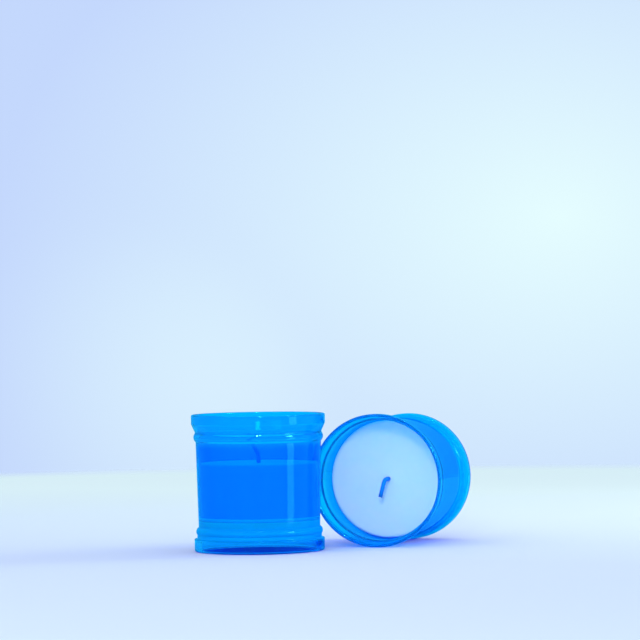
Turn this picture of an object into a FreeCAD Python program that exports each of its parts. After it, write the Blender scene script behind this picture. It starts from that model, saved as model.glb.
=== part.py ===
"""Pair of votive candles: pale wax in ribbed blue plastic cups, one standing and one lying on its side.

The origin is the centre of the standing cup's foot, +Z is up and +X runs towards the lying candle.
Each piece is drawn about its candle's own upright axis, and its Placement sets it in the pair.
"""
import FreeCAD
import Part
import Sketcher
import math
import os
import re

# Driving sizes, in millimetres and degrees.
SIZES = {
    # Cup, outside, from the lip down; each step is how far a ring stands out from the body next to it
    "cup_height": 61.2,
    "rim_step": 1.95,
    "rim_height": 4.2,
    "flare_height": 3.6,
    "neck_step": 0.35,
    "neck_height": 0.5,
    "upper_bead_height": 4.0,
    "upper_bead_rise": 0.8,
    "body_top_radius": 28.05,
    "body_bottom_radius": 27.2,
    "lower_bead_height": 3.4,
    "lower_bead_rise": 0.8,
    "waist_step": 0.7,
    "waist_height": 1.8,
    "foot_step": 1.95,
    "foot_height": 5.7,
    # Cup, walls and rounded edges
    "rim_wall": 1.3,
    "body_wall": 0.9,
    "skirt_wall": 1.3,
    "foot_wall": 3.2,
    "floor_height": 11.6,
    "floor_thickness": 2.2,
    "floor_round": 1.5,
    "foot_round": 1.0,
    "edge_round": 0.35,
    "blend_radius": 0.5,
    # Wax
    "wax_depth": 25.7,
    "wax_gap": 0.3,
    "wax_dish": 0.8,
    "wax_edge_round": 0.8,
    # Wick and its tab
    "wick_radius": 1.0,
    "wick_exposed": 14.5,
    "core_radius": 0.35,
    "core_gap": 0.03,
    "tab_radius": 7.0,
    "tab_thickness": 0.4,
    "collar_radius": 1.6,
    "collar_height": 3.6,
    "seat_gap": 0.05,
    # How each wick is bent: run above the wax, radius and angle of the bend, and its compass direction
    "standing_wick_rise": 2.8,
    "standing_bend_radius": 6.0,
    "standing_bend_angle": 28.0,
    "standing_bend_turn": 180.0,
    "lying_wick_rise": 4.6,
    "lying_bend_radius": 3.0,
    "lying_bend_angle": 80.0,
    "lying_bend_turn": 258.0,
    # Where the lying candle is: gap to the standing one, compass direction of the nearest point, and its yaw
    "candle_gap": 0.611,
    "touch_angle": 33.4,
    "lying_yaw": 16.2,
}

# Heights worked out from the driving sizes, as expressions.
RIM_BOTTOM = "(cup_height - rim_height)"
FLARE_BOTTOM = f"({RIM_BOTTOM} - flare_height)"
NECK_BOTTOM = f"({FLARE_BOTTOM} - neck_height)"
BODY_TOP = f"({NECK_BOTTOM} - upper_bead_height)"
WAIST_TOP = "(foot_height + waist_height)"
BODY_BOTTOM = f"({WAIST_TOP} + lower_bead_height)"
CHAMBER_FLOOR = "(floor_height + floor_thickness)"
WAX_LEVEL = f"({CHAMBER_FLOOR} + wax_depth)"
WAX_MIDDLE = f"({WAX_LEVEL} - wax_dish)"

# Radii worked out from the driving sizes.
RIM_RADIUS = "(body_top_radius + rim_step)"
NECK_RADIUS = "(body_top_radius + neck_step)"
WAIST_RADIUS = "(body_bottom_radius + waist_step)"
FOOT_RADIUS = "(body_bottom_radius + foot_step)"
RIM_BORE = f"({RIM_RADIUS} - rim_wall)"
BORE_TOP = "(body_top_radius - body_wall)"
BORE_BOTTOM = "(body_bottom_radius - body_wall)"
RECESS_TOP = "(body_bottom_radius - skirt_wall)"
WAX_BOTTOM_RADIUS = f"({BORE_BOTTOM} - wax_gap)"
WAX_FILL = f"(wax_depth / ({FLARE_BOTTOM} - {CHAMBER_FLOOR}))"
WAX_TOP_RADIUS = f"({WAX_BOTTOM_RADIUS} + ({BORE_TOP} - {BORE_BOTTOM}) * {WAX_FILL})"
WAX_FACE_RADIUS = f"({WAX_TOP_RADIUS} - wax_edge_round)"
WICK_HOLE = "(wick_radius + seat_gap)"

# The lying candle rests on its rim and its foot, so its axis rises a little towards the mouth.
TILT = f"atan(({RIM_RADIUS} - {FOOT_RADIUS}) / ({RIM_BOTTOM} - foot_round))"

# The lying rim comes nearest to the standing cup near the height of its own middle. Higher up and lower
# down it curves away sideways, so the standing rim and foot may be wider by that much.
ASIDE = "cos(touch_angle + lying_yaw)"
BODY_SLOPE = f"((body_top_radius - body_bottom_radius) / ({BODY_TOP} - {BODY_BOTTOM}))"
BODY_REACH = f"(body_bottom_radius + {BODY_SLOPE} * ({RIM_RADIUS} - {BODY_BOTTOM}))"
BULGE = f"({BODY_SLOPE}^2 * {RIM_RADIUS} / (2 * {ASIDE}))"
RIM_LEEWAY = f"({RIM_RADIUS} - sqrt(max(0; {RIM_RADIUS}^2 - ({RIM_BOTTOM} - {RIM_RADIUS})^2))) * {ASIDE}"
FOOT_LEEWAY = f"({RIM_RADIUS} - sqrt(max(0; {RIM_RADIUS}^2 - (foot_height - {RIM_RADIUS})^2))) * {ASIDE}"
WIDEST = f"max({BODY_REACH} + {BULGE}; {RIM_RADIUS} - {RIM_LEEWAY}; {FOOT_RADIUS} - {FOOT_LEEWAY})"
REACH = f"({WIDEST} + candle_gap)"
MOUTH_X = f"({REACH} * cos(touch_angle) + {RIM_RADIUS} * cos(lying_yaw))"
MOUTH_Y = f"({REACH} * sin(touch_angle) - {RIM_RADIUS} * sin(lying_yaw))"
LYING_X = f"{MOUTH_X} + cup_height * cos({TILT}) * sin(lying_yaw)"
LYING_Y = f"{MOUTH_Y} + cup_height * cos({TILT}) * cos(lying_yaw)"
LYING_Z = f"{FOOT_RADIUS} * cos({TILT}) - foot_round * sin({TILT})"
LYING_TURN = f"rotation(-lying_yaw * 1 deg; 0 deg; 90 deg - {TILT})"
PLACES = {
    "standing": "placement(vector(0; 0; 0); rotation(0; 0; 0))",
    "lying": f"placement(vector({LYING_X}; {LYING_Y}; {LYING_Z}); {LYING_TURN})",
}

# An arc's centre lies to the left or the right of the way from its first end to its second.
LEFT, RIGHT = 1, -1
# How a sketch numbers its origin and axes, and the ends and the centre of a curve.
ORIGIN, ACROSS_AXIS, UP_AXIS = -1, -1, -2
START, END, CENTRE = 1, 2, 3
SIZE_NAME = re.compile(r"[a-z]+(?:_[a-z]+)+")

doc = FreeCAD.newDocument("votive_candles")
sheet = doc.addObject("Spreadsheet::Sheet", "sizes")
for row, (alias, value) in enumerate(SIZES.items(), start=1):
    sheet.set(f"A{row}", str(value))
    sheet.setAlias(f"A{row}", alias)
doc.recompute()


def bound(expression):
    """The expression with every size written as a property of the sheet."""
    return SIZE_NAME.sub(r"sizes.\g<0>", expression)


def number(expression):
    """The expression's value now, as a plain number."""
    value = sheet.evalExpression(bound(expression))
    return float(getattr(value, "Value", value))


def rise_radius(span_across, span_up, rise):
    """Expression for the radius of an arc over a chord with these spans that stands out by rise."""
    return f"(({span_across})^2 + ({span_up})^2 + 4 * {rise}^2) / (8 * {rise})"


def add_body(candle, piece, place):
    """A body named for its candle and piece, set in the pair by a placement expression."""
    body = doc.addObject("PartDesign::Body", f"{candle}_{piece}")
    body.Label = f"{candle}_{piece}"
    body.setExpression("Placement", bound(place))
    return body


def add_sketch(body, name, plane):
    """An empty sketch on one of the body's own origin planes."""
    sketch = body.newObject("Sketcher::SketchObject", name)
    support = next(item for item in body.Origin.OriginFeatures if item.Role == plane)
    sketch.AttachmentSupport = [(support, "")]
    sketch.MapMode = "FlatFace"
    return sketch


def hold_value(sketch, constraint, expression):
    """Add a constraint whose value follows the expression."""
    index = sketch.addConstraint(constraint)
    sketch.setExpression(f"Constraints[{index}]", bound(expression))


def hold_point(sketch, curve, end, corner):
    """Fix one end of a curve at a corner's two expressions; "0" puts it on the axis."""
    for kind, axis, expression in (("DistanceX", UP_AXIS, corner[0]), ("DistanceY", ACROSS_AXIS, corner[1])):
        if expression == "0":
            sketch.addConstraint(Sketcher.Constraint("PointOnObject", curve, end, axis))
        else:
            distance = Sketcher.Constraint(kind, ORIGIN, START, curve, end, number(expression))
            hold_value(sketch, distance, expression)


def add_arc(sketch, first, second, radius, side):
    """Draw the short arc from first to second, and return its index and the end that lies at first."""
    chord = second - first
    inward = FreeCAD.Vector(-chord.y, chord.x, 0) * side
    inward.normalize()
    centre = (first + second) / 2 + inward * math.sqrt(radius**2 - (chord.Length / 2) ** 2)
    begin, finish = (first, second) if side == LEFT else (second, first)
    angles = [math.atan2(point.y - centre.y, point.x - centre.x) for point in (begin, finish)]
    circle = Part.Circle(centre, FreeCAD.Vector(0, 0, 1), radius)
    curve = sketch.addGeometry(Part.ArcOfCircle(circle, *angles), False)
    return curve, START if side == LEFT else END


def draw_line(sketch, corners, closed):
    """Draw lines and arcs from corner to corner, all held by expressions.

    A corner is (x, y), or (x, y, radius, side) where the run to the next corner is an arc.
    """
    points = [FreeCAD.Vector(number(corner[0]), number(corner[1]), 0) for corner in corners]
    last_run = len(corners) if closed else len(corners) - 1
    runs = []
    for index in range(last_run):
        corner = corners[index]
        first = points[index]
        second = points[(index + 1) % len(corners)]
        if len(corner) == 2:
            curve = sketch.addGeometry(Part.LineSegment(first, second), False)
            near = START
        else:
            curve, near = add_arc(sketch, first, second, number(corner[2]), corner[3])
            hold_value(sketch, Sketcher.Constraint("Radius", curve, number(corner[2])), corner[2])
        hold_point(sketch, curve, near, corner)
        runs.append((curve, near, START + END - near))
    for (curve, _, far), (following, near, _) in zip(runs, runs[1:] + runs[:1] if closed else runs[1:]):
        sketch.addConstraint(Sketcher.Constraint("Coincident", curve, far, following, near))
    if not closed:
        hold_point(sketch, runs[-1][0], runs[-1][2], corners[-1])


def revolve(body, corners):
    """Turn a closed section through a full circle about the body's Z axis."""
    section = add_sketch(body, f"{body.Name}_section", "XZ_Plane")
    draw_line(section, corners, closed=True)
    turned = body.newObject("PartDesign::Revolution", f"{body.Name}_turned")
    turned.Profile = section
    turned.ReferenceAxis = (section, ["V_Axis"])
    turned.Angle = 360
    return turned


def ring_edges(feature, rings):
    """Names of the feature's circular edges with these radii and heights."""
    names = []
    for index, edge in enumerate(feature.Shape.Edges, start=1):
        curve = edge.Curve
        if isinstance(curve, Part.Circle):
            for radius, height in rings:
                same_radius = abs(curve.Radius - radius) < 1e-4
                if same_radius and abs(curve.Center.z - height) < 1e-4:
                    names.append(f"Edge{index}")
    return names


def make_cup(candle):
    """Moulded cup: stepped foot, two beads, tapered body, flared rim with a round lip, raised floor."""
    lip = "rim_wall / 2"
    lower_bead = rise_radius("waist_step", "lower_bead_height", "lower_bead_rise")
    upper_bead = rise_radius("neck_step", "upper_bead_height", "upper_bead_rise")
    section = [
        (f"{FOOT_RADIUS} - foot_wall", "0"),
        (f"{FOOT_RADIUS} - foot_round", "0", "foot_round", LEFT),
        (FOOT_RADIUS, "foot_round"),
        (FOOT_RADIUS, "foot_height - edge_round", "edge_round", LEFT),
        (f"{FOOT_RADIUS} - edge_round", "foot_height"),
        (WAIST_RADIUS, "foot_height"),
        (WAIST_RADIUS, WAIST_TOP, lower_bead, LEFT),
        ("body_bottom_radius", BODY_BOTTOM),
        ("body_top_radius", BODY_TOP, upper_bead, LEFT),
        (NECK_RADIUS, NECK_BOTTOM),
        (NECK_RADIUS, FLARE_BOTTOM),
        (RIM_RADIUS, RIM_BOTTOM),
        (RIM_RADIUS, f"cup_height - {lip}", lip, LEFT),
        (f"{RIM_RADIUS} - {lip}", "cup_height", lip, LEFT),
        (RIM_BORE, f"cup_height - {lip}"),
        (RIM_BORE, RIM_BOTTOM),
        (BORE_TOP, FLARE_BOTTOM),
        (BORE_BOTTOM, f"{CHAMBER_FLOOR} + floor_round", "floor_round", RIGHT),
        (f"{BORE_BOTTOM} - floor_round", CHAMBER_FLOOR),
        ("0", CHAMBER_FLOOR),
        ("0", "floor_height"),
        (f"{RECESS_TOP} - floor_round", "floor_height", "floor_round", RIGHT),
        (RECESS_TOP, "floor_height - floor_round"),
    ]
    body = add_body(candle, "cup", PLACES[candle])
    turned = revolve(body, section)
    doc.recompute()
    corners = ((WAIST_RADIUS, "foot_height"), (NECK_RADIUS, FLARE_BOTTOM), (RIM_RADIUS, RIM_BOTTOM))
    rings = [(number(radius), number(height)) for radius, height in corners]
    blend = body.newObject("PartDesign::Fillet", f"{body.Name}_blend")
    blend.Base = (turned, ring_edges(turned, rings))
    blend.setExpression("Radius", bound("blend_radius"))
    return body


def make_wax(candle):
    """Wax filling with a slightly sunken top, a seat for the tab underneath and a hole for the wick."""
    face_width = f"({WAX_FACE_RADIUS} - {WICK_HOLE})"
    dish = f"({face_width}^2 + wax_dish^2) / (2 * wax_dish)"
    seat_top = f"{CHAMBER_FLOOR} + tab_thickness + seat_gap"
    collar_top = f"{CHAMBER_FLOOR} + collar_height + seat_gap"
    section = [
        ("tab_radius + seat_gap", CHAMBER_FLOOR),
        (f"{WAX_BOTTOM_RADIUS} - floor_round", CHAMBER_FLOOR, "floor_round", LEFT),
        (WAX_BOTTOM_RADIUS, f"{CHAMBER_FLOOR} + floor_round"),
        (WAX_TOP_RADIUS, f"{WAX_LEVEL} - wax_edge_round", "wax_edge_round", LEFT),
        (WAX_FACE_RADIUS, WAX_LEVEL, dish, RIGHT),
        (WICK_HOLE, WAX_MIDDLE),
        (WICK_HOLE, collar_top),
        ("collar_radius + seat_gap", collar_top),
        ("collar_radius + seat_gap", seat_top),
        ("tab_radius + seat_gap", seat_top),
    ]
    body = add_body(candle, "wax", PLACES[candle])
    revolve(body, section)
    return body


def make_tab(candle):
    """Stamped tab: a flat disc with a collar that grips the wick's lower end."""
    section = [
        (WICK_HOLE, CHAMBER_FLOOR),
        ("tab_radius", CHAMBER_FLOOR),
        ("tab_radius", f"{CHAMBER_FLOOR} + tab_thickness"),
        ("collar_radius", f"{CHAMBER_FLOOR} + tab_thickness"),
        ("collar_radius", f"{CHAMBER_FLOOR} + collar_height"),
        (WICK_HOLE, f"{CHAMBER_FLOOR} + collar_height"),
    ]
    body = add_body(candle, "wick_tab", PLACES[candle])
    revolve(body, section)
    return body


def make_strand(candle, piece, radii):
    """One strand of the wick, swept up through the wax and over its bend."""
    bend_radius = f"{candle}_bend_radius"
    bend_angle = f"{candle}_bend_angle"
    bend_start = f"({WAX_MIDDLE} + {candle}_wick_rise)"
    bend_length = f"({bend_radius} * {bend_angle} * pi / 180)"
    tip_run = f"(wick_exposed - {candle}_wick_rise - {bend_length})"
    lean = f"{bend_radius} * (1 - cos({bend_angle}))"
    bend_end = f"{bend_start} + {bend_radius} * sin({bend_angle})"
    path_points = [
        ("0", CHAMBER_FLOOR),
        ("0", bend_start, bend_radius, RIGHT),
        (lean, bend_end),
        (f"{lean} + {tip_run} * sin({bend_angle})", f"{bend_end} + {tip_run} * cos({bend_angle})"),
    ]
    turn = f"placement(vector(0; 0; 0); rotation(vector(0; 0; 1); {candle}_bend_turn))"
    body = add_body(candle, piece, f"{PLACES[candle]} * {turn}")
    path = add_sketch(body, f"{body.Name}_path", "XZ_Plane")
    draw_line(path, path_points, closed=False)
    section = add_sketch(body, f"{body.Name}_section", "XY_Plane")
    section.setExpression("AttachmentOffset.Base.z", bound(CHAMBER_FLOOR))
    for radius in radii:
        circle = Part.Circle(FreeCAD.Vector(), FreeCAD.Vector(0, 0, 1), number(radius))
        curve = section.addGeometry(circle, False)
        section.addConstraint(Sketcher.Constraint("Coincident", curve, CENTRE, ORIGIN, START))
        hold_value(section, Sketcher.Constraint("Radius", curve, number(radius)), radius)
    doc.recompute()
    swept = body.newObject("PartDesign::AdditivePipe", f"{body.Name}_swept")
    swept.Profile = section
    swept.Spine = (path, ["Edge1", "Edge2", "Edge3"])
    doc.recompute()
    area = math.pi * (number(radii[0]) ** 2 - sum(number(radius) ** 2 for radius in radii[1:]))
    length = number(f"{bend_start} - {CHAMBER_FLOOR} + wick_exposed - {candle}_wick_rise")
    print(f"{body.Label}: volume {body.Shape.Volume:.4f}, section times length {area * length:.4f}")
    return body


def make_candle(candle):
    """All the pieces of one candle."""
    return [
        make_cup(candle),
        make_wax(candle),
        make_tab(candle),
        make_strand(candle, "wick_braid", ["wick_radius", "core_radius + core_gap"]),
        make_strand(candle, "wick_core", ["core_radius"]),
    ]


def check_document(pieces):
    """Stop if any object failed, or any piece is not one valid solid."""
    for item in doc.Objects:
        if "Invalid" in item.State or "Error" in item.State:
            raise RuntimeError(f"{item.Label} failed: {item.State}")
    for piece in pieces:
        if piece.Shape.isNull() or not piece.Shape.isValid() or len(piece.Shape.Solids) != 1:
            raise RuntimeError(f"{piece.Label} is not one valid solid")


pieces = make_candle("standing") + make_candle("lying")
doc.recompute()
check_document(pieces)
os.makedirs("parts", exist_ok=True)
for piece in pieces:
    piece.Shape.exportStep(f"parts/{piece.Label}.step")
    print(f"{piece.Label}: {piece.Shape.Volume:.1f} mm3")
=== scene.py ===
"""Pair of votive candles in moulded blue cups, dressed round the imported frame.

One candle stands and the other lies on its side behind it, with its mouth to the viewer. Every piece is drawn
upright about its own candle's axis, in millimetres, and is then set in the pair's frame, in metres.
"""
import logging
import math
from dataclasses import dataclass, field
from enum import Enum
from typing import Any, Callable, Optional, Sequence

import bmesh
import bpy
from mathutils import Matrix, Vector
from mathutils.kdtree import KDTree


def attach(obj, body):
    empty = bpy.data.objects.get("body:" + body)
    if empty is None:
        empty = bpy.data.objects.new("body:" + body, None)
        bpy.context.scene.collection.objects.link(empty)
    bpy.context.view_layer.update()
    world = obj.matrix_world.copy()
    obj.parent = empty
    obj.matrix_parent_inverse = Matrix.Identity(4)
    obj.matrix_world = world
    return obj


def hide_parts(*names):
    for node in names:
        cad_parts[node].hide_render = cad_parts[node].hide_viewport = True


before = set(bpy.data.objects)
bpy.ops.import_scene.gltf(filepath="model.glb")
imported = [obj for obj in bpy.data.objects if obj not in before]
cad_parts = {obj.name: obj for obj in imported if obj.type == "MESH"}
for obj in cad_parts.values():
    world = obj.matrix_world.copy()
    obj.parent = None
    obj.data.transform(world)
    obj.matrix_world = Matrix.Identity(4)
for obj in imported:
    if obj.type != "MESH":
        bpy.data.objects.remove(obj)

LOG = logging.getLogger("votive_candles")
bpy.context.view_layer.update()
MM = 0.001
FULL_TURN = 2 * math.pi
MERGE_DISTANCE = 1e-4
HOLDS_IN_LONG_RUN = 4
UPRIGHT = "upright"
ALONG = "along"
Section = list[Vector]


def linear(code: str) -> tuple[float, float, float, float]:
    """Turn an sRGB hex colour into linear light.

    Args:
        code: the colour as #rrggbb.

    Returns:
        Linear red, green and blue, with an alpha of 1.
    """
    shares = [int(code[i:i + 2], 16) / 255 for i in (1, 3, 5)]
    light = [s / 12.92 if s <= 0.04045 else ((s + 0.055) / 1.055) ** 2.4 for s in shares]
    return (light[0], light[1], light[2], 1.0)


def per_mm(period: float) -> float:
    """Texture scale, per metre, of a pattern that repeats about every period millimetres."""
    return 1 / (period * MM)


def add_node(
    tree: bpy.types.NodeTree,
    kind: str,
    values: Optional[dict[Any, Any]] = None,
    links: Optional[dict[Any, bpy.types.NodeSocket]] = None,
    **settings: Any,
) -> bpy.types.Node:
    """Add one node with its settings, its inputs' values and its links.

    Args:
        tree: the node tree to add to.
        kind: the node's type, without its ShaderNode prefix.
        values: input names or indices, and the constants they get.
        links: input names or indices, and the output sockets that feed them.
        settings: properties of the node itself.

    Returns:
        The new node.
    """
    node = tree.nodes.new("ShaderNode" + kind)
    for name, value in settings.items():
        setattr(node, name, value)
    for name, value in (values or {}).items():
        node.inputs[name].default_value = value
    for name, socket in (links or {}).items():
        tree.links.new(socket, node.inputs[name])
    return node


def new_material(name: str) -> tuple[bpy.types.Material, bpy.types.NodeTree]:
    """Make an empty node material.

    Args:
        name: the material's name.

    Returns:
        The material and its empty node tree.
    """
    material = bpy.data.materials.new(name)
    material.use_nodes = True
    material.node_tree.nodes.clear()
    return material, material.node_tree


@dataclass(frozen=True)
class DyedPolystyrene:
    """Clear polystyrene with a blue dye, injection moulded in a polished tool.

    To the eye it is glossy and see-through with a slight haze. It is deep blue where light goes a long way
    through it. The rim and the upper bead, and the foot and the lower bead, are painted paler: painted light,
    as if they caught more light. The lowest band of the foot has no haze, so that it shows darker: painted
    shade for the shaded ground under the cup. Faint flow lines run up the wall, and handling has left light
    scuffs.
    """

    name: str = "dyed_polystyrene"
    wall_clear: str = "#30dcff"
    # Painted light: the rim and the foot are given paler clear colours, as if they caught more light.
    rim_clear_painted_light: str = "#48e8ff"
    foot_clear_painted_light: str = "#48eaff"
    wall_haze: str = "#0058ff"
    # Painted light: a paler haze colour in the rim and the foot.
    ring_haze_painted_light: str = "#00bcff"
    shade: str = "#80d1ff"
    foot_shade: str = "#1268ee"
    haze: float = 0.13
    # Painted light: extra haze in the foot, to make it paler.
    foot_haze_painted_light: float = 0.36
    ior: float = 1.5
    polish: float = 0.03
    scuffed: float = 0.09
    depth_colour: tuple[float, float, float, float] = (0.0, 0.9965, 0.9998, 1.0)
    depth_density: float = 4.3
    # Painted shade: below this band the foot has no haze and shows darker.
    painted_shade_fade_zone: tuple[float, float] = (4.2, 6.2)
    # Heights over which the foot's and the rim's painted light fade.
    foot_zone: tuple[float, float] = (13.2, 15.6)
    rim_zone: tuple[float, float] = (46.0, 50.0)
    flow_line: float = 5.0
    flow_stretch: float = 0.12
    flow_share: float = 0.25
    # Real scuffs are finer; these are as coarse as they need to be to show.
    scuff: float = 2.2
    scuff_zone: tuple[float, float] = (0.52, 0.75)
    ripple: float = 0.02
    ripple_strength: float = 0.35

    def build(self) -> bpy.types.Material:
        """Make the material from flow lines, scuffs and a hazy, tinted clear body.

        Returns:
            The finished material.
        """
        material, tree = new_material(self.name)
        place = add_node(tree, "Attribute", attribute_name=UPRIGHT)
        stretch = add_node(tree, "Mapping", {"Scale": (1.0, 1.0, self.flow_stretch)},
                           {"Vector": place.outputs["Vector"]})
        flow = add_node(tree, "TexNoise", {"Scale": per_mm(self.flow_line), "Detail": 2.0},
                        {"Vector": stretch.outputs["Vector"]})
        scuffs = add_node(tree, "TexNoise", {"Scale": per_mm(self.scuff), "Detail": 6.0, "Roughness": 0.7},
                          {"Vector": place.outputs["Vector"]})
        parts = add_node(tree, "SeparateXYZ", links={0: place.outputs["Vector"]})
        above = add_node(tree, "MapRange", {1: self.rim_zone[0] * MM, 2: self.rim_zone[1] * MM},
                         {0: parts.outputs["Z"]}, interpolation_type="SMOOTHSTEP")
        below = add_node(tree, "MapRange",
                         {1: self.foot_zone[0] * MM, 2: self.foot_zone[1] * MM, 3: 1.0, 4: 0.0},
                         {0: parts.outputs["Z"]}, interpolation_type="SMOOTHSTEP")
        # Painted light: the rim and foot zones are mixed towards the paler colours.
        rings = add_node(tree, "Math", links={0: above.outputs[0], 1: below.outputs[0]}, operation="ADD")
        flow_and_painted_light = add_node(tree, "Math", {1: self.flow_share}, {0: flow.outputs["Fac"], 2: rings.outputs[0]},
                         operation="MULTIPLY_ADD", use_clamp=True)
        ring = add_node(tree, "Mix", {6: linear(self.rim_clear_painted_light), 7: linear(self.foot_clear_painted_light)},
                        {0: below.outputs[0]}, data_type="RGBA")
        clear = add_node(tree, "Mix", {6: linear(self.wall_clear)},
                         {0: flow_and_painted_light.outputs[0], 7: ring.outputs[2]}, data_type="RGBA")
        milky = add_node(tree, "Mix", {6: linear(self.wall_haze), 7: linear(self.ring_haze_painted_light)},
                         {0: flow_and_painted_light.outputs[0]}, data_type="RGBA")
        gloss = add_node(tree, "MapRange",
                         {1: self.scuff_zone[0], 2: self.scuff_zone[1], 3: self.polish, 4: self.scuffed},
                         {0: scuffs.outputs["Fac"]})
        ripples = add_node(tree, "Bump", {"Strength": self.ripple_strength, "Distance": self.ripple * MM},
                           {"Height": flow.outputs["Fac"]})
        glass = add_node(tree, "BsdfGlass", {"IOR": self.ior},
                         {"Color": clear.outputs[2], "Roughness": gloss.outputs[0],
                          "Normal": ripples.outputs["Normal"]})
        cloud = add_node(tree, "BsdfDiffuse", links={"Color": milky.outputs[2]})
        # Painted shade: the haze fades out towards the bottom of the foot, which then shows darker.
        painted_shade_fade = add_node(tree, "MapRange", {1: self.painted_shade_fade_zone[0] * MM, 2: self.painted_shade_fade_zone[1] * MM},
                         {0: parts.outputs["Z"]}, interpolation_type="SMOOTHSTEP")
        # Painted light: the haze is raised in the foot.
        waist = add_node(tree, "Math", {1: self.foot_haze_painted_light, 2: self.haze}, {0: below.outputs[0]},
                         operation="MULTIPLY_ADD")
        share = add_node(tree, "Math", links={0: waist.outputs[0], 1: painted_shade_fade.outputs[0]}, operation="MULTIPLY")
        body = add_node(tree, "MixShader",
                        links={0: share.outputs[0], 1: glass.outputs[0], 2: cloud.outputs[0]})
        path = add_node(tree, "LightPath")
        passing = add_node(tree, "Mix", {6: linear(self.shade), 7: linear(self.foot_shade)},
                           {0: below.outputs[0]}, data_type="RGBA")
        tint = add_node(tree, "BsdfTransparent", links={"Color": passing.outputs[2]})
        soft = add_node(tree, "MixShader",
                        links={0: path.outputs["Is Diffuse Ray"], 1: body.outputs[0], 2: tint.outputs[0]})
        both = add_node(tree, "MixShader",
                        links={0: path.outputs["Is Shadow Ray"], 1: soft.outputs[0], 2: tint.outputs[0]})
        depth = add_node(tree, "VolumeAbsorption",
                         {"Color": self.depth_colour, "Density": self.depth_density / MM})
        add_node(tree, "OutputMaterial", links={"Surface": both.outputs[0], "Volume": depth.outputs[0]})
        return material


@dataclass(frozen=True)
class PouredWax:
    """Paraffin wax, poured and set in the cup.

    To the eye it is pale with a waxy sheen and a softly mottled skin, and light goes a little way into it.
    Near the cup's wall it is painted bluer: painted light from the blue wall.
    """

    name: str = "poured_paraffin"
    pale: str = "#d6fbff"
    milky: str = "#c6f7ff"
    # Painted light: the wax is bluer near the cup's wall, as if lit through it.
    edge: str = "#a0eaff"
    painted_wall_light_zone: tuple[float, float] = (25.0, 26.9)
    ior: float = 1.44
    specular: float = 0.15
    sheen: tuple[float, float] = (0.38, 0.56)
    mottle: float = 7.0
    mottle_zone: tuple[float, float] = (0.35, 0.7)
    # Real pits are finer; these are as coarse as they need to be to show.
    pits: float = 0.9
    pit_share: float = 0.25
    skin: float = 0.06
    skin_strength: float = 0.4
    glow_share: float = 0.35
    glow_depth: float = 2.5
    glow_reach: tuple[float, float, float] = (0.4, 0.8, 1.0)

    def build(self) -> bpy.types.Material:
        """Make the material from a soft mottle, fine pits and light under the skin.

        Returns:
            The finished material.
        """
        material, tree = new_material(self.name)
        place = add_node(tree, "Attribute", attribute_name=UPRIGHT)
        mottle = add_node(tree, "TexNoise", {"Scale": per_mm(self.mottle), "Detail": 3.0},
                          {"Vector": place.outputs["Vector"]})
        pits = add_node(tree, "TexNoise", {"Scale": per_mm(self.pits), "Detail": 4.0},
                        {"Vector": place.outputs["Vector"]})
        colour = add_node(tree, "Mix", {6: linear(self.pale), 7: linear(self.milky)},
                          {0: mottle.outputs["Fac"]}, data_type="RGBA")
        level = add_node(tree, "VectorMath", {1: (1.0, 1.0, 0.0)}, {0: place.outputs["Vector"]},
                         operation="MULTIPLY")
        radius = add_node(tree, "VectorMath", links={0: level.outputs[0]}, operation="LENGTH")
        # Painted light: bluer towards the cup's wall.
        near_wall = add_node(tree, "MapRange", {1: self.painted_wall_light_zone[0] * MM, 2: self.painted_wall_light_zone[1] * MM},
                             {0: radius.outputs["Value"]}, interpolation_type="SMOOTHSTEP")
        tinted = add_node(tree, "Mix", {7: linear(self.edge)},
                          {0: near_wall.outputs[0], 6: colour.outputs[2]}, data_type="RGBA")
        sheen = add_node(tree, "MapRange",
                         {1: self.mottle_zone[0], 2: self.mottle_zone[1], 3: self.sheen[0], 4: self.sheen[1]},
                         {0: mottle.outputs["Fac"]})
        height = add_node(tree, "Math", {1: self.pit_share},
                          {0: pits.outputs["Fac"], 2: mottle.outputs["Fac"]}, operation="MULTIPLY_ADD")
        skin = add_node(tree, "Bump", {"Strength": self.skin_strength, "Distance": self.skin * MM},
                        {"Height": height.outputs[0]})
        body = add_node(tree, "BsdfPrincipled",
                        {"IOR": self.ior, "Specular IOR Level": self.specular,
                         "Subsurface Weight": self.glow_share, "Subsurface Scale": self.glow_depth * MM,
                         "Subsurface Radius": self.glow_reach},
                        {"Base Color": tinted.outputs[2], "Roughness": sheen.outputs[0],
                         "Normal": skin.outputs["Normal"]})
        add_node(tree, "OutputMaterial", links={"Surface": body.outputs[0]})
        return material


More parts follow.
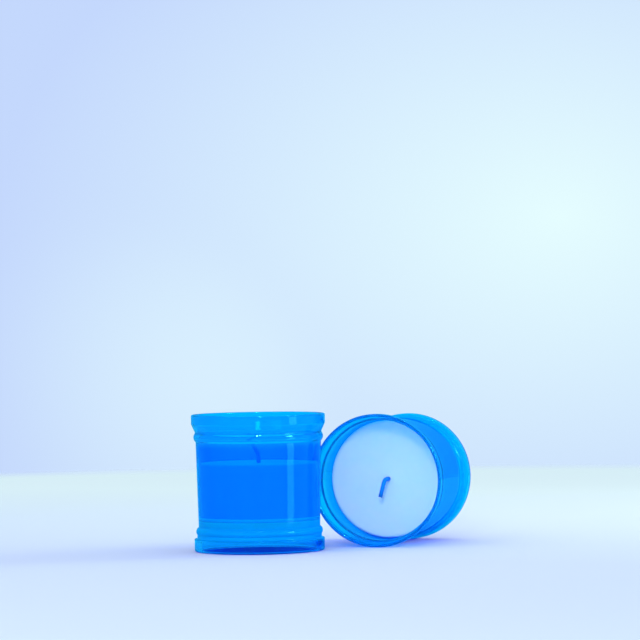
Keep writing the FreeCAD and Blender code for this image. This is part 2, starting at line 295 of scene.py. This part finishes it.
@dataclass(frozen=True)
class WaxedCotton:
    """Braided cotton yarn soaked in blue wax.

    To the eye it is dull with a slight waxy shine, uneven from its fibres, and darker at the tip.
    """

    name: str = "waxed_cotton"
    yarn: str = "#0aa0ff"
    shade: str = "#0084f0"
    tip: str = "#0072cf"
    tip_zone: tuple[float, float] = (0.9, 1.0)
    ior: float = 1.45
    specular: float = 0.1
    roughness: tuple[float, float] = (0.5, 0.75)
    # Real fibres are finer; these are as coarse as they need to be to show.
    fibre: float = 0.25
    fuzz: float = 0.05
    fuzz_strength: float = 0.6

    def build(self) -> bpy.types.Material:
        """Make the material from fine fibres and a tip that darkens over its last stretch.

        Returns:
            The finished material.
        """
        material, tree = new_material(self.name)
        place = add_node(tree, "Attribute", attribute_name=UPRIGHT)
        along = add_node(tree, "Attribute", attribute_name=ALONG)
        fibres = add_node(tree, "TexNoise", {"Scale": per_mm(self.fibre), "Detail": 3.0},
                          {"Vector": place.outputs["Vector"]})
        yarn = add_node(tree, "Mix", {6: linear(self.yarn), 7: linear(self.shade)},
                        {0: fibres.outputs["Fac"]}, data_type="RGBA")
        reach = add_node(tree, "MapRange", {1: self.tip_zone[0], 2: self.tip_zone[1]},
                         {0: along.outputs["Fac"]})
        colour = add_node(tree, "Mix", {7: linear(self.tip)},
                          {0: reach.outputs[0], 6: yarn.outputs[2]}, data_type="RGBA")
        fuzz = add_node(tree, "Bump", {"Strength": self.fuzz_strength, "Distance": self.fuzz * MM},
                        {"Height": fibres.outputs["Fac"]})
        wax = add_node(tree, "MapRange", {3: self.roughness[0], 4: self.roughness[1]},
                       {0: fibres.outputs["Fac"]})
        body = add_node(tree, "BsdfPrincipled", {"IOR": self.ior, "Specular IOR Level": self.specular},
                        {"Base Color": colour.outputs[2], "Roughness": wax.outputs[0],
                         "Normal": fuzz.outputs["Normal"]})
        add_node(tree, "OutputMaterial", links={"Surface": body.outputs[0]})
        return material


@dataclass(frozen=True)
class SpunThread:
    """Spun cotton thread in the middle of the wick: to the eye off-white and matt, with fine fibres."""

    name: str = "spun_thread"
    light: str = "#dfe7ee"
    dark: str = "#a9b9c8"
    roughness: float = 0.85
    # Real fibres are finer; these are as coarse as they need to be to show.
    fibre: float = 0.2
    fuzz: float = 0.03
    fuzz_strength: float = 0.5

    def build(self) -> bpy.types.Material:
        """Make the material from fine fibres.

        Returns:
            The finished material.
        """
        material, tree = new_material(self.name)
        place = add_node(tree, "TexCoord")
        fibres = add_node(tree, "TexNoise", {"Scale": per_mm(self.fibre), "Detail": 3.0},
                          {"Vector": place.outputs["Object"]})
        colour = add_node(tree, "Mix", {6: linear(self.light), 7: linear(self.dark)},
                          {0: fibres.outputs["Fac"]}, data_type="RGBA")
        fuzz = add_node(tree, "Bump", {"Strength": self.fuzz_strength, "Distance": self.fuzz * MM},
                        {"Height": fibres.outputs["Fac"]})
        body = add_node(tree, "BsdfPrincipled", {"Roughness": self.roughness},
                        {"Base Color": colour.outputs[2], "Normal": fuzz.outputs["Normal"]})
        add_node(tree, "OutputMaterial", links={"Surface": body.outputs[0]})
        return material


@dataclass(frozen=True)
class TinPlate:
    """Rolled tin-plated steel under a skin of wax.

    To the eye it is pale, with a dull shine and fine lines one way.
    """

    name: str = "tin_plate"
    bright: str = "#d8ecf6"
    dull: str = "#bcd4e2"
    metallic: float = 0.3
    roughness: tuple[float, float] = (0.25, 0.45)
    # Real rolling lines are finer; these are as coarse as they need to be to show.
    line: float = 0.3
    line_stretch: float = 0.05

    def build(self) -> bpy.types.Material:
        """Make the material from rolling lines.

        Returns:
            The finished material.
        """
        material, tree = new_material(self.name)
        place = add_node(tree, "TexCoord")
        stretch = add_node(tree, "Mapping", {"Scale": (self.line_stretch, 1.0, 1.0)},
                           {"Vector": place.outputs["Object"]})
        lines = add_node(tree, "TexNoise", {"Scale": per_mm(self.line), "Detail": 2.0},
                         {"Vector": stretch.outputs["Vector"]})
        colour = add_node(tree, "Mix", {6: linear(self.bright), 7: linear(self.dull)},
                          {0: lines.outputs["Fac"]}, data_type="RGBA")
        rough = add_node(tree, "MapRange", {3: self.roughness[0], 4: self.roughness[1]},
                         {0: lines.outputs["Fac"]})
        body = add_node(tree, "BsdfPrincipled", {"Metallic": self.metallic},
                        {"Base Color": colour.outputs[2], "Roughness": rough.outputs[0]})
        add_node(tree, "OutputMaterial", links={"Surface": body.outputs[0]})
        return material


def rounded(corners: Sequence[tuple[float, ...]], steps: int) -> Section:
    """Round the corners of an open section.

    Args:
        corners: (radius from the axis, height) or (radius, height, rounding radius), all in millimetres.
        steps: the number of runs in each rounding.

    Returns:
        The section's points.
    """
    points: Section = []
    for index, corner in enumerate(corners):
        here = Vector(corner[:2])
        if len(corner) == 2:
            points.append(here)
            continue
        back = (Vector(corners[index - 1][:2]) - here).normalized()
        ahead = (Vector(corners[index + 1][:2]) - here).normalized()
        half = back.angle(ahead) / 2
        centre = here + (back + ahead).normalized() * corner[2] / math.sin(half)
        first = here + back * corner[2] / math.tan(half) - centre
        last = here + ahead * corner[2] / math.tan(half) - centre
        points += [centre + first.slerp(last, step / steps) * corner[2] for step in range(steps + 1)]
    return points


def bead(
    first: tuple[float, float],
    last: tuple[float, float],
    rise: float,
    steps: int,
) -> list[tuple[float, float]]:
    """Draw a bead that stands out from the wall between two points.

    Args:
        first: the lower end, as radius and height in millimetres.
        last: the upper end.
        rise: how far the bead stands out from the line between its ends.
        steps: the number of runs along the bead.

    Returns:
        The points from the lower end to the upper end.
    """
    low, high = Vector(first), Vector(last)
    along = (high - low).normalized()
    outward = Vector((along.y, -along.x))
    half = (high - low).length / 2
    radius = (half ** 2 + rise ** 2) / (2 * rise)
    centre = (low + high) / 2 + outward * (rise - radius)
    spread = math.asin(half / radius)
    turns = [spread * (2 * step / steps - 1) for step in range(steps + 1)]
    return [tuple(centre + (outward * math.cos(turn) + along * math.sin(turn)) * radius) for turn in turns]


def hold_runs(section: Section, hold: float, longest: float) -> Section:
    """Add points near the ends of long straight runs, so that smooth shading keeps them straight.

    Args:
        section: the points of an open section.
        hold: how far from the ends the new points are, in millimetres.
        longest: the longest stretch that is left undivided.

    Returns:
        The section with its new points.
    """
    points = [section[0]]
    for here, ahead in zip(section, section[1:]):
        run = (ahead - here).length
        if run > HOLDS_IN_LONG_RUN * hold:
            pieces = math.ceil(run / longest)
            shares = [hold / run] + [k / pieces for k in range(1, pieces)] + [1 - hold / run]
            points += [here.lerp(ahead, share) for share in shares]
        points.append(ahead)
    return points


def turn_section(section: Section, steps: int) -> bmesh.types.BMesh:
    """Turn a section about the upright axis into a closed mesh.

    Args:
        section: points as radius and height, in millimetres.
        steps: the number of steps in the full turn.

    Returns:
        The mesh, in millimetres, with its faces outwards.
    """
    shape = bmesh.new()
    corners = [shape.verts.new((point.x, 0.0, point.y)) for point in section]
    runs = [shape.edges.new(pair) for pair in zip(corners, corners[1:])]
    bmesh.ops.spin(shape, geom=corners + runs, cent=(0, 0, 0), axis=(0, 0, 1), dvec=(0, 0, 0),
                   angle=FULL_TURN, steps=steps, use_merge=True, use_duplicate=False)
    bmesh.ops.remove_doubles(shape, verts=shape.verts, dist=MERGE_DISTANCE)
    bmesh.ops.recalc_face_normals(shape, faces=shape.faces)
    return shape


def finish_piece(
    name: str,
    shape: bmesh.types.BMesh,
    place: Matrix,
    material: bpy.types.Material,
    along: Optional[Callable[[Vector], float]] = None,
) -> bpy.types.Object:
    """Set an upright mesh in the pair's frame, with its upright coordinates kept for the materials.

    Args:
        name: the piece's name.
        shape: the mesh, upright and in millimetres; it is freed.
        place: where the candle is, in metres.
        material: the piece's finish.
        along: gives the share of the way along the piece at a point, where its finish needs that.

    Returns:
        The piece, at the origin and unturned.
    """
    bmesh.ops.scale(shape, vec=(MM, MM, MM), verts=shape.verts)
    upright = shape.verts.layers.float_vector.new(UPRIGHT)
    share = shape.verts.layers.float.new(ALONG) if along else None
    for vert in shape.verts:
        vert[upright] = vert.co
        if share:
            vert[share] = along(vert.co / MM)
    for face in shape.faces:
        face.smooth = True
    bmesh.ops.transform(shape, matrix=place, verts=shape.verts)
    mesh = bpy.data.meshes.new(name)
    shape.to_mesh(mesh)
    shape.free()
    mesh.materials.append(material)
    piece = bpy.data.objects.new(name, mesh)
    bpy.context.scene.collection.objects.link(piece)
    return piece


@dataclass
class MouldedCup:
    """The moulded cup: stepped and hollow foot, two beads, tapered body, flared rim and raised floor."""

    height: float = 61.2
    rim_step: float = 1.95
    rim_height: float = 4.2
    flare_height: float = 3.6
    neck_step: float = 0.35
    neck_height: float = 0.5
    upper_bead_height: float = 4.0
    lower_bead_height: float = 3.4
    bead_rise: float = 0.8
    body_top: float = 28.05
    body_bottom: float = 27.2
    waist_step: float = 0.7
    waist_height: float = 1.8
    foot_step: float = 1.95
    foot_height: float = 5.7
    rim_wall: float = 1.3
    body_wall: float = 0.9
    skirt_wall: float = 1.3
    foot_wall: float = 3.2
    floor_height: float = 11.6
    floor_thickness: float = 2.2
    floor_round: float = 1.5
    foot_round: float = 1.0
    edge_round: float = 0.35
    blend: float = 0.5
    gate_radius: float = 1.6
    gate_depth: float = 0.12
    # The lip's two roundings take nearly all of its width, so that a sliver of a flat is left between them.
    lip_share: float = 0.999
    hold: float = 0.12
    longest_run: float = 6.0
    turn_steps: int = 144
    round_steps: int = 5
    bead_steps: int = 14

    @property
    def rim_radius(self) -> float:
        """Outer radius of the rim."""
        return self.body_top + self.rim_step

    @property
    def foot_radius(self) -> float:
        """Outer radius of the foot."""
        return self.body_bottom + self.foot_step

    @property
    def rim_bottom(self) -> float:
        """Height of the rim's lower edge."""
        return self.height - self.rim_height

    @property
    def flare_bottom(self) -> float:
        """Height where the flare starts."""
        return self.rim_bottom - self.flare_height

    @property
    def chamber_floor(self) -> float:
        """Height of the floor that the wax stands on."""
        return self.floor_height + self.floor_thickness

    @property
    def bore_bottom(self) -> float:
        """Inner radius at the floor."""
        return self.body_bottom - self.body_wall

    @property
    def bore_top(self) -> float:
        """Inner radius under the flare."""
        return self.body_top - self.body_wall

    def section(self) -> Section:
        """Work out the section from the middle of the underside, round the foot and the lip, to the chamber.

        Returns:
            The section's points, as radius and height in millimetres.
        """
        foot, rim = self.foot_radius, self.rim_radius
        waist = self.body_bottom + self.waist_step
        neck = self.body_top + self.neck_step
        waist_top = self.foot_height + self.waist_height
        body_bottom = waist_top + self.lower_bead_height
        neck_bottom = self.flare_bottom - self.neck_height
        body_top = neck_bottom - self.upper_bead_height
        lip = self.rim_wall / 2 * self.lip_share
        lower_bead = bead((waist, waist_top), (self.body_bottom, body_bottom),
                          self.bead_rise, self.bead_steps)
        upper_bead = bead((self.body_top, body_top), (neck, neck_bottom), self.bead_rise, self.bead_steps)
        recess = self.body_bottom - self.skirt_wall
        corners = [
            (0.0, self.floor_height + self.gate_depth),
            (self.gate_radius - self.gate_depth, self.floor_height + self.gate_depth),
            (self.gate_radius, self.floor_height),
            (recess, self.floor_height, self.floor_round),
            (foot - self.foot_wall, 0.0, self.edge_round),
            (foot, 0.0, self.foot_round),
            (foot, self.foot_height, self.edge_round),
            (waist, self.foot_height, self.blend),
            *lower_bead,
            *upper_bead,
            (neck, self.flare_bottom, self.blend),
            (rim, self.rim_bottom, self.blend),
            (rim, self.height, lip),
            (rim - self.rim_wall, self.height, lip),
            (rim - self.rim_wall, self.rim_bottom, self.blend),
            (self.bore_top, self.flare_bottom, self.blend),
            (self.bore_bottom, self.chamber_floor, self.floor_round),
            (0.0, self.chamber_floor),
        ]
        return hold_runs(rounded(corners, self.round_steps), self.hold, self.longest_run)

    def build(self, name: str, place: Matrix, material: bpy.types.Material) -> bpy.types.Object:
        """Turn the section into the cup."""
        return finish_piece(name, turn_section(self.section(), self.turn_steps), place, material)


@dataclass
class WaxFill:
    """The wax filling: set against the wall, dished on top, drawn up round the wick.

    It has shrunk from the wall by gap at its top edge. At the floor it runs into the cup by bite, and fills
    the rounded corner there a little more by heel, so that light passes as it does where wax has set.
    """

    cup: MouldedCup
    depth: float = 25.7
    gap: float = 0.06
    bite: float = 0.004
    heel: float = 0.15
    dish: float = 0.8
    edge_round: float = 0.8
    hole: float = 1.05
    climb: float = 0.5
    collar: float = 1.65
    collar_height: float = 3.65
    seat: float = 7.05
    seat_height: float = 0.45
    hold: float = 0.15
    longest_run: float = 7.0
    turn_steps: int = 144
    round_steps: int = 6
    dish_steps: int = 18

    @property
    def level(self) -> float:
        """Height of the wax at its edge."""
        return self.cup.chamber_floor + self.depth

    @property
    def middle(self) -> float:
        """Height of the wax at the wick."""
        return self.level - self.dish

    def section(self) -> Section:
        """Work out the section from the tab's seat, up the wall and over the dish to the wick's hole.

        Returns:
            The section's points, as radius and height in millimetres, back to the first one.
        """
        cup, floor = self.cup, self.cup.chamber_floor
        bottom = cup.bore_bottom + self.bite
        share = self.depth / (cup.flare_bottom - floor)
        top = cup.bore_bottom + (cup.bore_top - cup.bore_bottom) * share - self.gap
        face = top - self.edge_round
        dish = []
        for step in range(1, self.dish_steps):
            radius = face + (self.hole - face) * step / self.dish_steps
            fall = 1 - ((radius - self.hole) / (face - self.hole)) ** 2
            pull = self.climb * math.exp(-((radius - self.hole) / (2 * self.climb)))
            dish.append((radius, self.level - self.dish * fall + pull))
        corners = [
            (self.collar, floor + self.collar_height),
            (self.collar, floor + self.seat_height),
            (self.seat, floor + self.seat_height),
            (self.seat, floor - self.bite),
            (bottom, floor - self.bite, cup.floor_round - self.heel),
            (top, self.level, self.edge_round),
            *dish,
            (self.hole, self.middle + self.climb),
            (self.hole, floor + self.collar_height),
        ]
        points = hold_runs(rounded(corners, self.round_steps), self.hold, self.longest_run)
        return points + [points[0]]

    def build(self, name: str, place: Matrix, material: bpy.types.Material) -> bpy.types.Object:
        """Turn the section into the wax."""
        return finish_piece(name, turn_section(self.section(), self.turn_steps), place, material)


@dataclass
class BraidedWick:
    """The braided wick: eight yarns, half of them each way round, over the bend that the wick has."""

    wax: WaxFill
    rise: float
    bend_radius: float
    bend_angle: float
    bend_turn: float
    exposed: float = 14.5
    radius: float = 1.0
    yarn_radius: float = 0.34
    yarn_resolution: int = 2
    yarns_each_way: int = 4
    lay: float = 7.0
    weave: float = 0.09
    ring_step: float = 0.3

    @property
    def foot(self) -> float:
        """Height of the wick's lower end."""
        return self.wax.cup.chamber_floor

    @property
    def length(self) -> float:
        """Length along the wick's middle line."""
        return self.wax.middle - self.foot + self.exposed

    def frame_at(self, run: float) -> tuple[Vector, Vector, Vector]:
        """Find the middle line at a distance along it.

        Args:
            run: distance from the lower end, in millimetres.

        Returns:
            The point, the direction to the inside of the bend, and the direction square to the bend.
        """
        straight = self.wax.middle + self.rise - self.foot
        angle = math.radians(self.bend_angle)
        turned = min(max((run - straight) / self.bend_radius, 0.0), angle)
        tip = max(run - straight - self.bend_radius * angle, 0.0)
        lean = self.bend_radius * (1 - math.cos(turned)) + tip * math.sin(turned)
        height = min(run, straight) + self.bend_radius * math.sin(turned) + tip * math.cos(turned)
        spin = Matrix.Rotation(math.radians(self.bend_turn), 3, "Z")
        point = spin @ Vector((lean, 0.0, self.foot + height))
        inward = spin @ Vector((math.cos(turned), 0.0, -math.sin(turned)))
        return point, inward, spin @ Vector((0.0, 1.0, 0.0))

    def sharer(self) -> Callable[[Vector], float]:
        """Make the function that gives the share of the way along the wick at a point.

        Returns:
            A function from an upright point in millimetres to a share from 0 to 1.
        """
        marks = round(self.length / self.ring_step)
        tree = KDTree(marks + 1)
        for mark in range(marks + 1):
            tree.insert(self.frame_at(self.length * mark / marks)[0], mark)
        tree.balance()
        return lambda point: tree.find(point)[1] / marks

    def build(self, name: str, place: Matrix, material: bpy.types.Material) -> bpy.types.Object:
        """Wind the yarns as tubes about the middle line.

        Args:
            name: the piece's name.
            place: where the candle is.
            material: the wick's finish.

        Returns:
            The wick.
        """
        curve = bpy.data.curves.new(name, "CURVE")
        curve.dimensions = "3D"
        curve.bevel_depth = self.yarn_radius
        curve.bevel_resolution = self.yarn_resolution
        curve.use_fill_caps = True
        rings = round(self.length / self.ring_step)
        mean = self.radius - self.yarn_radius - self.weave
        for way in (1, -1):
            for yarn in range(self.yarns_each_way):
                spline = curve.splines.new("POLY")
                spline.points.add(rings)
                for ring in range(rings + 1):
                    run = self.length * ring / rings
                    point, inward, square = self.frame_at(run)
                    turn = FULL_TURN * (way * run / self.lay + yarn / self.yarns_each_way)
                    wave = math.cos(self.yarns_each_way * FULL_TURN * run / self.lay)
                    out = mean + way * self.weave * wave
                    spot = point + (inward * math.cos(turn) + square * math.sin(turn)) * out
                    spline.points[ring].co = (*spot, 1.0)
        winding = bpy.data.objects.new(name + "_winding", curve)
        mesh = bpy.data.meshes.new_from_object(winding)
        shape = bmesh.new()
        shape.from_mesh(mesh)
        bpy.data.objects.remove(winding)
        bpy.data.curves.remove(curve)
        bpy.data.meshes.remove(mesh)
        bmesh.ops.recalc_face_normals(shape, faces=shape.faces)
        return finish_piece(name, shape, place, material, self.sharer())


class Pose(Enum):
    """How a candle is set down."""

    STANDING = "standing"
    LYING = "lying"


@dataclass
class Finishes:
    """The finished materials, made once and shared by both candles."""

    cup: bpy.types.Material = field(default_factory=lambda: DyedPolystyrene().build())
    wax: bpy.types.Material = field(default_factory=lambda: PouredWax().build())
    wick: bpy.types.Material = field(default_factory=lambda: WaxedCotton().build())
    thread: bpy.types.Material = field(default_factory=lambda: SpunThread().build())
    tab: bpy.types.Material = field(default_factory=lambda: TinPlate().build())


@dataclass
class VotiveCandle:
    """One candle: its cup, wax and wick, with the frame's own core and tab inside."""

    pose: Pose
    wick_rise: float
    bend_radius: float
    bend_angle: float
    bend_turn: float
    reach: float = 28.25
    touch_angle: float = 33.4
    yaw: float = 16.2
    cup: MouldedCup = field(default_factory=MouldedCup)

    def place(self) -> Matrix:
        """Work out where the candle is in the pair.

        Returns:
            The matrix from the candle's own upright frame to the pair's, in metres.
        """
        if self.pose is Pose.STANDING:
            return Matrix.Identity(4)
        cup = self.cup
        tilt = math.atan((cup.rim_radius - cup.foot_radius) / (cup.rim_bottom - cup.foot_round))
        yaw, touch = math.radians(self.yaw), math.radians(self.touch_angle)
        along = cup.height * math.cos(tilt)
        base = Vector((
            self.reach * math.cos(touch) + cup.rim_radius * math.cos(yaw) + along * math.sin(yaw),
            self.reach * math.sin(touch) - cup.rim_radius * math.sin(yaw) + along * math.cos(yaw),
            cup.foot_radius * math.cos(tilt) - cup.foot_round * math.sin(tilt),
        ))
        turn = Matrix.Rotation(-yaw, 4, "Z") @ Matrix.Rotation(math.pi / 2 - tilt, 4, "X")
        return Matrix.Translation(base * MM) @ turn

    def build(self, finishes: Finishes) -> None:
        """Build and dress the candle's pieces, each on its body and in its node's place.

        Args:
            finishes: the materials that both candles share.
        """
        own = self.pose.value
        place = self.place()
        wax = WaxFill(self.cup)
        wick = BraidedWick(wax, self.wick_rise, self.bend_radius, self.bend_angle, self.bend_turn)
        pieces = [
            (self.cup.build(f"{own}_moulded_cup", place, finishes.cup), "cup", "cup", "cup_plastic"),
            (wax.build(f"{own}_poured_wax", place, finishes.wax), "wax", "refill", "candle_wax"),
            (wick.build(f"{own}_braided_wick", place, finishes.wick), "wick_braid", "refill", "wick_cotton"),
        ]
        for piece, node, body, slot in pieces:
            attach(piece, f"{own}_{body}")
            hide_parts(f"{own}_{node}")
            LOG.info("%s: %d faces on %s_%s", piece.name, len(piece.data.polygons), own, body)
        for node, material in (("wick_core", finishes.thread), ("wick_tab", finishes.tab)):
            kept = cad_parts[f"{own}_{node}"]
            kept.data.materials.clear()
            kept.data.materials.append(material)
            LOG.info("%s_%s: kept from the frame", own, node)


@dataclass(frozen=True)
class Lamp:
    """One soft lamp of the studio, in metres, watts and degrees.

    With matt it lights what is dull, and with gleam it is seen in what is shiny. Most do one of the two.
    """

    name: str
    spot: tuple[float, float, float]
    size: tuple[float, float]
    power: float
    matt: bool = True
    gleam: bool = True
    spread: float = 180.0
    target: tuple[float, float, float] = (0.03, 0.02, 0.03)

    def hang(self) -> None:
        """Hang the lamp so that it points at the candles."""
        lamp = bpy.data.lights.new(self.name, "AREA")
        lamp.shape = "RECTANGLE"
        lamp.size, lamp.size_y = self.size
        lamp.energy = self.power
        lamp.spread = math.radians(self.spread)
        holder = bpy.data.objects.new(self.name, lamp)
        holder.location = self.spot
        aim = Vector(self.target) - Vector(self.spot)
        holder.rotation_euler = aim.to_track_quat("-Z", "Y").to_euler()
        holder.visible_camera = False
        holder.visible_diffuse = self.matt
        holder.visible_glossy = self.gleam
        holder.visible_transmission = self.matt and self.gleam
        if not self.matt:
            lamp.cycles.max_bounces = 1
        bpy.context.scene.collection.objects.link(holder)


@dataclass
class Studio:
    """Pale floor and backdrop, soft lamps and the camera at the photograph's viewing angle."""

    floor_colour: str = "#cbdcfa"
    floor_glow: str = "#e6fbff"
    floor_slant: float = 0.4
    floor_glow_zone: tuple[float, float] = (-0.05, 0.5)
    floor_roughness: float = 0.8
    floor_radius: float = 1.2
    floor_sides: int = 64
    fade_start: float = 0.70
    fade_end: float = 0.80
    backdrop: str = "#c4d8fd"
    glow: str = "#e5fdff"
    glow_way: tuple[float, float, float] = (0.0667, 1.0, 0.0208)
    glow_shape: tuple[float, float, float] = (0.67, 0.0, 1.0)
    glow_spread: float = 0.103
    soft_way: tuple[float, float, float] = (-0.0290, 1.0, -0.0200)
    soft_level: float = 0.42
    soft_end: float = 1.2
    glow_merge: float = 0.15
    air: str = "#f6faff"
    world_light: float = 0.88
    lamps: tuple[Lamp, ...] = (
        Lamp("front_lamp", (-0.06, -1.25, 0.48), (0.22, 0.22), 4.8, gleam=False),
        Lamp("top_lamp", (0.03, -0.5, 1.3), (0.14, 0.14), 0.4),
        Lamp("left_lamp", (-0.7, -0.85, 1.0), (0.45, 0.2), 0.9),
        Lamp("right_lamp", (0.9, 0.35, 0.28), (0.4, 0.3), 0.4, gleam=False, spread=50.0),
        Lamp("front_gleam", (0.02, -0.75, 0.95), (0.15, 0.2), 14.0, matt=False),
        Lamp("right_gleam", (0.95, -0.5, 0.6), (0.3, 0.3), 9.0, matt=False),
        Lamp("strip_gleam", (0.125, -0.08, 0.035), (0.035, 0.07), 0.03, matt=False),
    )
    eye: tuple[float, float, float] = (28.48, -1612.1, 113.93)
    pitch: float = 0.397
    roll: float = 0.873
    focal_pixels: float = 3601.5
    image_pixels: float = 640.0
    sensor: float = 36.0
    clip: tuple[float, float] = (0.05, 50.0)

    def build(self) -> None:
        """Set up the stage."""
        self.lay_floor()
        self.light_world()
        for lamp in self.lamps:
            lamp.hang()
        self.set_camera()
        bpy.context.scene.view_settings.view_transform = "Standard"

    def lay_floor(self) -> None:
        """Lay a pale round floor whose far edge melts into the backdrop."""
        material, tree = new_material("studio_paper")
        place = add_node(tree, "TexCoord")
        away = add_node(tree, "VectorMath", links={0: place.outputs["Object"]}, operation="LENGTH")
        fade = add_node(tree, "MapRange", {1: self.fade_start, 2: self.fade_end},
                        {0: away.outputs["Value"]}, interpolation_type="SMOOTHSTEP")
        parts = add_node(tree, "SeparateXYZ", links={0: place.outputs["Object"]})
        across = add_node(tree, "Math", {1: self.floor_slant}, {0: parts.outputs["X"], 2: parts.outputs["Y"]},
                          operation="MULTIPLY_ADD")
        paler = add_node(tree, "MapRange", {1: self.floor_glow_zone[0], 2: self.floor_glow_zone[1]},
                         {0: across.outputs[0]})
        colour = add_node(tree, "Mix", {6: linear(self.floor_colour), 7: linear(self.floor_glow)},
                          {0: paler.outputs[0]}, data_type="RGBA")
        paper = add_node(tree, "BsdfPrincipled",
                         {"Roughness": self.floor_roughness, "Specular IOR Level": 0.0},
                         {"Base Color": colour.outputs[2]})
        open_air = add_node(tree, "BsdfTransparent")
        both = add_node(tree, "MixShader",
                        links={0: fade.outputs[0], 1: paper.outputs[0], 2: open_air.outputs[0]})
        add_node(tree, "OutputMaterial", links={"Surface": both.outputs[0]})
        shape = bmesh.new()
        bmesh.ops.create_circle(shape, cap_ends=True, segments=self.floor_sides, radius=self.floor_radius)
        mesh = bpy.data.meshes.new("studio_floor")
        shape.to_mesh(mesh)
        shape.free()
        mesh.materials.append(material)
        floor = bpy.data.objects.new("studio_floor", mesh)
        bpy.context.scene.collection.objects.link(floor)

    def light_world(self) -> None:
        """Light evenly from all round, and show a pale glow to the eye and in what is clear or glossy."""
        world = bpy.data.worlds.new("studio_air")
        world.use_nodes = True
        bpy.context.scene.world = world
        tree = world.node_tree
        tree.nodes.clear()
        way = add_node(tree, "TexCoord")
        centre = Vector(self.glow_way).normalized()
        aside = add_node(tree, "VectorMath", {1: centre}, {0: way.outputs["Generated"]},
                         operation="SUBTRACT")
        oval = add_node(tree, "VectorMath", {1: self.glow_shape}, {0: aside.outputs[0]}, operation="MULTIPLY")
        off = add_node(tree, "VectorMath", links={0: oval.outputs[0]}, operation="LENGTH")
        bright = add_node(tree, "MapRange", {1: 0.0, 2: self.glow_spread}, {0: off.outputs["Value"]})
        behind = Vector(self.soft_way).normalized()
        away = add_node(tree, "VectorMath", {1: behind}, {0: way.outputs["Generated"]}, operation="DISTANCE")
        soft = add_node(tree, "MapRange", {1: 0.0, 2: self.glow_spread, 3: self.soft_level, 4: self.soft_end},
                        {0: away.outputs["Value"]}, interpolation_type="SMOOTHSTEP")
        near = add_node(tree, "Math", {2: self.glow_merge}, {0: bright.outputs[0], 1: soft.outputs[0]},
                        operation="SMOOTH_MIN", use_clamp=True)
        shown = add_node(tree, "Mix", {6: linear(self.glow), 7: linear(self.backdrop)},
                         {0: near.outputs[0]}, data_type="RGBA")
        path = add_node(tree, "LightPath")
        seen = add_node(tree, "Math",
                        links={0: path.outputs["Is Camera Ray"], 1: path.outputs["Is Glossy Ray"]},
                        operation="MAXIMUM")
        clear = add_node(tree, "Math", links={0: seen.outputs[0], 1: path.outputs["Is Transmission Ray"]},
                         operation="MAXIMUM")
        light = add_node(tree, "Background", {"Color": linear(self.air), "Strength": self.world_light})
        backdrop = add_node(tree, "Background", {"Strength": 1.0}, {"Color": shown.outputs[2]})
        both = add_node(tree, "MixShader",
                        links={0: clear.outputs[0], 1: light.outputs[0], 2: backdrop.outputs[0]})
        add_node(tree, "OutputWorld", links={"Surface": both.outputs[0]})

    def set_camera(self) -> None:
        """Put the camera where the photograph was taken from."""
        data = bpy.data.cameras.new("photo_camera")
        data.sensor_width = self.sensor
        data.lens = self.focal_pixels / self.image_pixels * self.sensor
        data.clip_start, data.clip_end = self.clip
        camera = bpy.data.objects.new("photo_camera", data)
        down = Matrix.Rotation(math.radians(90 - self.pitch), 4, "X")
        tilt = Matrix.Rotation(math.radians(-self.roll), 4, "Z")
        camera.matrix_world = Matrix.Translation(Vector(self.eye) * MM) @ down @ tilt
        bpy.context.scene.collection.objects.link(camera)
        bpy.context.scene.camera = camera


def main() -> None:
    """Build both candles and the stage."""
    logging.basicConfig(level=logging.INFO)
    finishes = Finishes()
    candles = (
        VotiveCandle(Pose.STANDING, wick_rise=2.8, bend_radius=6.0, bend_angle=28.0, bend_turn=180.0),
        VotiveCandle(Pose.LYING, wick_rise=4.6, bend_radius=3.0, bend_angle=80.0, bend_turn=258.0),
    )
    for candle in candles:
        candle.build(finishes)
    Studio().build()
    bpy.context.view_layer.update()


if __name__ == "__main__":
    main()
